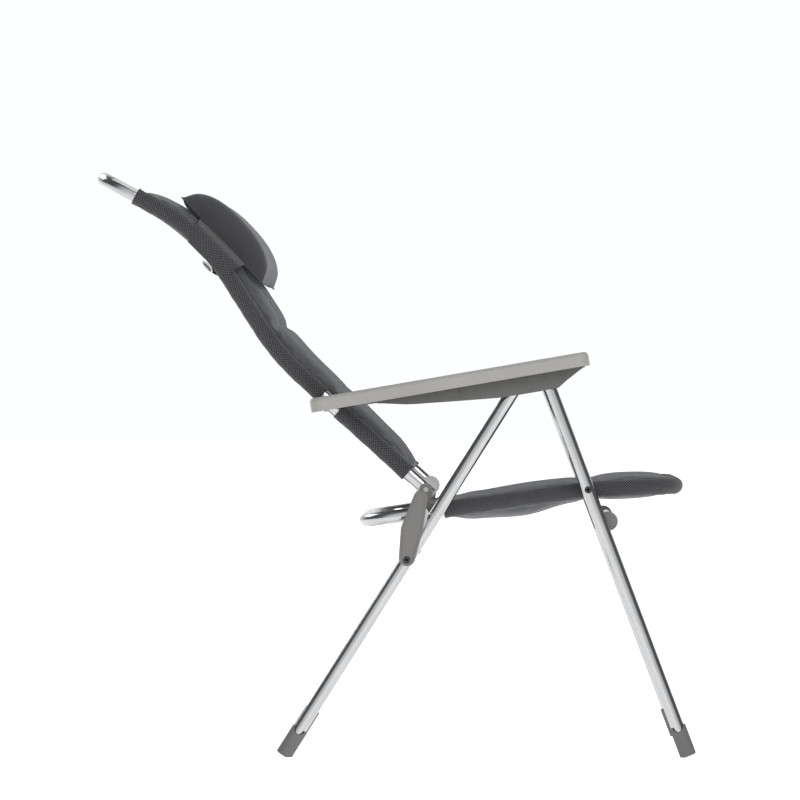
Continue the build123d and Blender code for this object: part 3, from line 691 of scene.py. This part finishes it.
def back_shape(x, y, layer):
    """Where a point of the flat back pad goes: along, across and out."""
    half, edge = rim_place(layer)
    full = crown(y, 7, 0.6) * crown(2 * x / back_length - 1, 40, 0.5)
    if layer > 0.25:
        face = between(x, (0.0, 0.014), (0.06, 0.0225), (0.17, 0.0265), (0.30, 0.0285), (0.4, 0.026),
                       (0.48, 0.0205), (0.53, 0.0185), (0.6, 0.0180), (0.65, 0.0145))
        sink = -1
    else:
        face = -between(x, (0.0, 0.007), (0.1, 0.009), (0.4, 0.009), (0.52, 0.012), (0.65, 0.008))
        sink = 1
    valley = max(seam_valley((y - seam) * half, 0.012) for seam in back_seams) * 0.005
    valley = max(valley, seam_valley(x - back_cross_seam, 0.010) * 0.0035) * full
    if abs(layer) < 0.25:
        return x, y * half, edge
    return x, y * half, edge + (face - edge) * full + sink * valley


back_panel = padded_panel("back_panel", back_length, 2 * rim_across, panel_cell)
back_sewn = sewn_points(back_panel, back_length, panel_cell, back_seams, (back_cross_seam,), 2 * rim_across)
shaped(back_panel, back_shape)
puff(back_panel, back_sewn, 6.0, 0.007, slack=0.03)
finish_with(back_panel, "SUBSURF", levels=1, render_levels=1)
lay(back_panel, back_line, back_start)
tidy_faces(back_panel)
dress(back_panel, panel_fabric, "backrest", "panel_fabric", "back_pad")

# %% [markdown]
# ## Mesh edging
# The frame tubes wear sleeves of spacer mesh, sewn to the panels. A sleeve is a strip of the same
# cloth rolled round the tube and closed, a little loose, so it has shallow creases, a flare at
# each cut end, and folds on the inside of a bend. It stops short at the armrest, where the bare
# tube carries the stud.

# %% Sleeves on the tubes
sleeve_radius = 0.0127
sleeve_cloth = 0.0011
sleeve_cell = 0.0042


def edging(name, run, start, stop, folds=()):
    """A mesh sleeve round a tube's line, with folds at given (distance, half width, depth)."""
    length = stop - start
    sleeve = cut_cloth(name, length, 2 * pi * sleeve_radius, sleeve_cell)
    for vertex in sleeve.data.vertices:
        x, angle = vertex.co.x, vertex.co.y / sleeve_radius
        crease = 0.00022 * sin(x * 150 + 2 * angle) + 0.00016 * sin(x * 331 - 3 * angle + 1)
        flare = 0.0009 * seam_valley(min(x, length - x), 0.006)
        fold = sum(depth * seam_valley(x - place, wide) * max(0.0, cos(angle - pi)) for place, wide, depth in folds)
        radius = sleeve_radius + crease + flare + fold
        vertex.co = (x, radius * sin(angle), radius * cos(angle))
    tidy_faces(sleeve)
    finish_with(sleeve, "SOLIDIFY", thickness=sleeve_cloth, offset=-1.0)
    lay(sleeve, run, start)
    return sleeve


upper_folds = [(0.352, 0.006, 0.0006), (0.372, 0.005, 0.0008), (0.388, 0.005, 0.0007), (0.405, 0.006, 0.0009),
               (0.421, 0.005, 0.0007)]
for side_name, side in (("left", 1), ("right", -1)):
    side_line = Run(lane(back_points, side * frame_lane), back_radii, out_of_back)
    upper = edging(f"back_edging_upper_{side_name}", side_line, 0.230, side_line.length, upper_folds)
    dress(upper, mesh_fabric, "backrest", "mesh_fabric", f"back_sleeve_upper_{side_name}")
    lower = edging(f"back_edging_lower_{side_name}", side_line, back_start, 0.193, [(0.14, 0.006, 0.0006)])
    dress(lower, mesh_fabric, "backrest", "mesh_fabric", f"back_sleeve_lower_{side_name}")

seat_corners = [ahead(seat_rear, seat_slope, seat_start), seat_pivot, seat_front]
seat_loop = Run(lane(seat_corners, frame_lane) + lane(seat_corners[::-1], -frame_lane),
                [0.7, 0.055, 0.055, 0.7], up_the_seat)
seat_edging = edging("seat_edging", seat_loop, 0.0, seat_loop.length, [])
dress(seat_edging, mesh_fabric, "seat", "mesh_fabric", "seat_sleeve")

# %% [markdown]
# ## Piping along the seams
# Where a panel meets its edging, the seam allowance stands up as a thin welt. It is a round cord
# of cloth, a smooth curve given a thickness, that follows the panel's rim.


# %% Welts
def welt(name, points, radius, finish, body, slot, closed=False):
    """A thin round welt through points."""
    bpy.ops.object.select_all(action="DESELECT")
    curve = bpy.data.curves.new(name, "CURVE")
    curve.dimensions = "3D"
    curve.bevel_depth, curve.bevel_resolution = radius, 2
    curve.use_fill_caps = True
    spline = curve.splines.new("POLY")
    spline.points.add(len(points) - 1)
    for knot, point in zip(spline.points, points):
        knot.co = (*point, 1)
    spline.use_cyclic_u = closed
    piece = bpy.data.objects.new(name, curve)
    bpy.context.scene.collection.objects.link(piece)
    piece.select_set(True)
    bpy.context.view_layer.objects.active = piece
    bpy.ops.object.convert(target="MESH")
    piece = bpy.context.object
    piece.name = piece.data.name = name
    bpy.ops.object.shade_smooth()
    layer = piece.data.uv_layers.new(name="cloth") if not piece.data.uv_layers else piece.data.uv_layers[0]
    layer.name = "cloth"
    for loop in piece.data.loops:
        point = piece.data.vertices[loop.vertex_index].co
        layer.data[loop.index].uv = (point.x + point.z, point.y)
    dress(piece, finish, body, slot)
    return piece


def rim_points(run, start, shape, length, lift, places):
    """Points on a panel's rim, for places of (share of the length, side)."""
    found = []
    for share, side in places:
        x, y, z = shape(share * length, side, 0.5)
        point, along, out = run.place(start + x)
        found.append(point + out.cross(along) * y + out * (rim_out + lift))
    return found


welt_radius = 0.0011
def rim_walk(rear_edge):
    """Places round a panel's rim, and along its rear edge too where that is asked for."""
    steps = [count / 120 for count in range(121)]
    across = [1 - 2 * count / 60 for count in range(1, 60)]
    walk = [(share, 1) for share in steps] + [(1, side) for side in across]
    walk += [(share, -1) for share in reversed(steps)]
    return walk + [(0, -side) for side in across] if rear_edge else walk


for name, run, start, shape, length, body in (
        ("back", back_line, back_start, back_shape, back_length, "backrest"),
        ("seat", seat_line, seat_start, seat_shape, seat_length, "seat")):
    around = rim_points(run, start, shape, length, 0.0004, rim_walk(False))
    welt(f"{name}_welt", around, welt_radius, mesh_fabric, body, "mesh_fabric")

# %% [markdown]
# ## The head pillow
# The pillow is two cloths sewn round their edge: a flat rear one and a full front one, so from the
# side it is a half moon with a small ear at each corner. Its sides pull in between the corners,
# as a stuffed cushion's do.

# %% The head pillow
pillow_angle = 135.0
turn_inset = back_radii[1] * (1 / cos(radians((back_angles[2] - back_angles[1]) / 2)) - 1)
pillow_seat = ahead(back_neck, pillow_angle + 90, turn_inset)
pillow_low, pillow_high = -0.134, 0.061
pillow_half = 0.212
pillow_rim, pillow_front, pillow_back = 0.0245, 0.0470, 0.0085
pillow_length = pillow_high - pillow_low
pillow_line = Run([ahead(pillow_seat, pillow_angle, pillow_low), ahead(pillow_seat, pillow_angle, pillow_high)], [],
                  Vector((sin(radians(pillow_angle)), 0, -cos(radians(pillow_angle)))))
end_round = 0.026
flat_share = 0.84


def pillow_shape(x, y, layer):
    """Where a point of the flat pillow goes: along, across and out."""
    share = 2 * x / pillow_length - 1
    side = 1 if y > 0 else -1
    if abs(y) < flat_share:
        across, fall = y / flat_share * (pillow_half - end_round), 1.0
    else:
        turn = (abs(y) - flat_share) / (1 - flat_share) * pi / 2
        across, fall = side * (pillow_half - end_round + end_round * sin(turn)), cos(turn)
    across *= 1 - 0.03 * (1 - share ** 2)
    x = pillow_length / 2 + (x - pillow_length / 2) * (1 - 0.045 * (1 - y ** 2))
    rim = pillow_rim + 0.0035 * share
    if abs(layer) < 0.25:
        return x, across, rim
    if layer > 0:
        return x, across, rim + pillow_front * crown(share, 2.4, 0.5) * fall ** 0.75
    return x, across, rim - pillow_back * crown(share, 6, 0.5) * fall ** 0.75


pillow_cell = 0.0062
pillow = padded_panel("pillow_cushion", pillow_length, 2 * pillow_half, pillow_cell)
pillow_sewn = sewn_points(pillow, pillow_length, pillow_cell, (), (), 2 * pillow_half)
shaped(pillow, pillow_shape)
puff(pillow, pillow_sewn, 5.0, 0.007, slack=0.03)
finish_with(pillow, "SUBSURF", levels=1, render_levels=1)
lay(pillow, pillow_line)
tidy_faces(pillow)
dress(pillow, panel_fabric, "pillow", "panel_fabric", "head_pillow")
pillow_rim_points = []
for share, side in rim_walk(True):
    x, y, z = pillow_shape(share * pillow_length, side, 0.0)
    point, along, out = pillow_line.place(x)
    pillow_rim_points.append(point + out.cross(along) * y + out * z)
welt("pillow_welt", pillow_rim_points, 0.0013, panel_fabric, "pillow", "panel_fabric", closed=True)

# %% [markdown]
# ## Wings and strap
# Mesh wings hold the pillow: each leaves its rear edge, folds over the front of the back tube and
# runs down the tube's outer side. An elastic strap joins the two behind the back, hooked to each
# wing by a little wire ring, so the pillow can be slid up and down.

# %% Wings, strap and rings
wing_route = [(0.204, 0.0245), (0.222, 0.0205), (0.238, 0.0185), (0.249, 0.0160), (0.2565, 0.0100),
              (0.2585, 0.002), (0.2586, -0.007), (0.2575, -0.0165)]
wing_length, wing_width, wing_foot = 0.108, 0.060, -0.092
strap_width, strap_half, strap_drop = 0.020, 0.244, 0.0255
ring_radius, ring_wire = 0.009, 0.0011


def wing(name, side):
    """One mesh wing, a curved sheet from the pillow's edge to behind the tube."""
    piece = cut_cloth(name, wing_length, wing_width, 0.004)
    last = len(wing_route) - 1
    for vertex in piece.data.vertices:
        share = (vertex.co.y / wing_width + 0.5) * last
        index = min(last - 1, int(share))
        part = share - index
        (near, near_out), (far, far_out) = wing_route[index], wing_route[index + 1]
        taper = 1 - 0.2 * share / last
        place = wing_foot + 0.006 * share / last + vertex.co.x * taper
        across = side * (near + (far - near) * part)
        vertex.co = (place - pillow_low, across, near_out + (far_out - near_out) * part)
    lay(piece, pillow_line)
    tidy_faces(piece)
    finish_with(piece, "SOLIDIFY", thickness=0.0012, offset=0.0)
    finish_with(piece, "SUBSURF", levels=1, render_levels=1)
    return piece


# seen along the pillow, the cloth's own y runs to the sitter's right
left_wing, right_wing = wing("pillow_wing_left", -1), wing("pillow_wing_right", 1)
dress(left_wing, mesh_fabric, "pillow", "mesh_fabric", "pillow_wings")
dress(right_wing, mesh_fabric, "pillow", "mesh_fabric")

strap = cut_cloth("pillow_strap", strap_width, 2 * strap_half, 0.004)
for vertex in strap.data.vertices:
    drop = strap_drop - 0.004 * abs(vertex.co.y / strap_half) ** 6
    vertex.co = (vertex.co.x - 0.062 - pillow_low, vertex.co.y, -drop)
lay(strap, pillow_line)
tidy_faces(strap)
finish_with(strap, "SOLIDIFY", thickness=0.0014, offset=0.0)
dress(strap, mesh_fabric, "pillow", "mesh_fabric")

for side_name, side in (("left", -1), ("right", 1)):
    bpy.ops.object.select_all(action="DESELECT")
    bpy.ops.mesh.primitive_torus_add(major_radius=ring_radius, minor_radius=ring_wire,
                                     major_segments=32, minor_segments=10)
    ring = bpy.context.object
    ring.name = ring.data.name = f"strap_ring_{side_name}"
    for vertex in ring.data.vertices:
        x, y, z = vertex.co
        vertex.co = (x * 1.2 - 0.052 - pillow_low, side * (0.2475 + y * 0.7), z - 0.0225 + 0.35 * y)
    lay(ring, pillow_line)
    tidy_faces(ring)
    dress(ring, steel, "pillow", "steel")

# %% [markdown]
# ## Small hard details
# The casing under each armrest is stiffened by a row of short ribs just under the shell, and the
# bolts that show have domed heads with a hexagon socket. Each is modelled once and copied.

# %% Casing ribs
armrest_pivot = pivots["armrest_fold"]
armrest_tilt = 9.7
rib_first, rib_pitch, rib_count = -0.1455, 0.028, 7
rib_size = (0.0016, 0.0018, 0.011)
rib_depth = 0.010
casing_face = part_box("armrest_casing_left")[1].y
for side_name, side in (("left", 1), ("right", -1)):
    bars = []
    for count in range(rib_count):
        reach = rib_first + count * rib_pitch
        centre = ahead(ahead(armrest_pivot, armrest_tilt, reach), armrest_tilt + 90, rib_depth)
        bpy.ops.object.select_all(action="DESELECT")
        bpy.ops.mesh.primitive_cube_add(size=1, location=(centre.x, side * casing_face, centre.z),
                                        rotation=(0, radians(-armrest_tilt), 0), scale=rib_size)
        bpy.ops.object.transform_apply(location=True, rotation=True, scale=True)
        finish_with(bpy.context.object, "BEVEL", width=0.0005, segments=2)
        bars.append(bpy.context.object)
    bpy.ops.object.select_all(action="DESELECT")
    for bar in bars:
        bar.select_set(True)
    bpy.context.view_layer.objects.active = bars[0]
    bpy.ops.object.join()
    ribs = bpy.context.object
    ribs.name = ribs.data.name = f"casing_ribs_{side_name}"
    dress(ribs, casing_plastic, "armrests", "casing_plastic")


# %% Domed bolt heads
bolt_dome = 0.0022


def bolt_head(name, place, side, radius, body):
    """A domed head with a hexagon socket, facing out to one side."""
    bpy.ops.object.select_all(action="DESELECT")
    bpy.ops.mesh.primitive_cylinder_add(vertices=6, radius=radius * 0.42, depth=bolt_dome)
    socket = bpy.context.object
    socket.location.z = bolt_dome / 2
    bpy.ops.mesh.primitive_cylinder_add(vertices=36, radius=radius, depth=bolt_dome)
    head = bpy.context.object
    finish_with(head, "BEVEL", width=0.0009, segments=3, limit_method="ANGLE")
    modifier = head.modifiers.new("socket", "BOOLEAN")
    modifier.object, modifier.operation = socket, "DIFFERENCE"
    bpy.context.view_layer.objects.active = head
    bpy.ops.object.modifier_apply(modifier="socket")
    bpy.data.objects.remove(socket)
    head.name = head.data.name = name
    for vertex in head.data.vertices:
        x, y, z = vertex.co
        vertex.co = (place.x + x, side * (place.y + z), place.z + y)
    bpy.ops.object.select_all(action="DESELECT")
    head.select_set(True)
    bpy.context.view_layer.objects.active = head
    bpy.ops.object.mode_set(mode="EDIT")
    bpy.ops.mesh.select_all(action="SELECT")
    bpy.ops.mesh.normals_make_consistent(inside=False)
    bpy.ops.object.mode_set(mode="OBJECT")
    bpy.ops.object.shade_smooth_by_angle(angle=radians(35))
    dress(head, screw, body, "screw")


leg_bolt_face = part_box("seat_pivot_bolts")[1].y
plate_bolt_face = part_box("rear_leg_bolts")[1].y
plate_pivot = pivots["side_plate_turn"]
for side_name, side in (("left", 1), ("right", -1)):
    bolt_head(f"seat_bolt_head_{side_name}", Vector((seat_pivot.x, leg_bolt_face, seat_pivot.z)), side, 0.0058,
              "front_legs")
    bolt_head(f"plate_bolt_head_{side_name}", Vector((plate_pivot.x, plate_bolt_face, plate_pivot.z)), side, 0.0052,
              "side_plates")
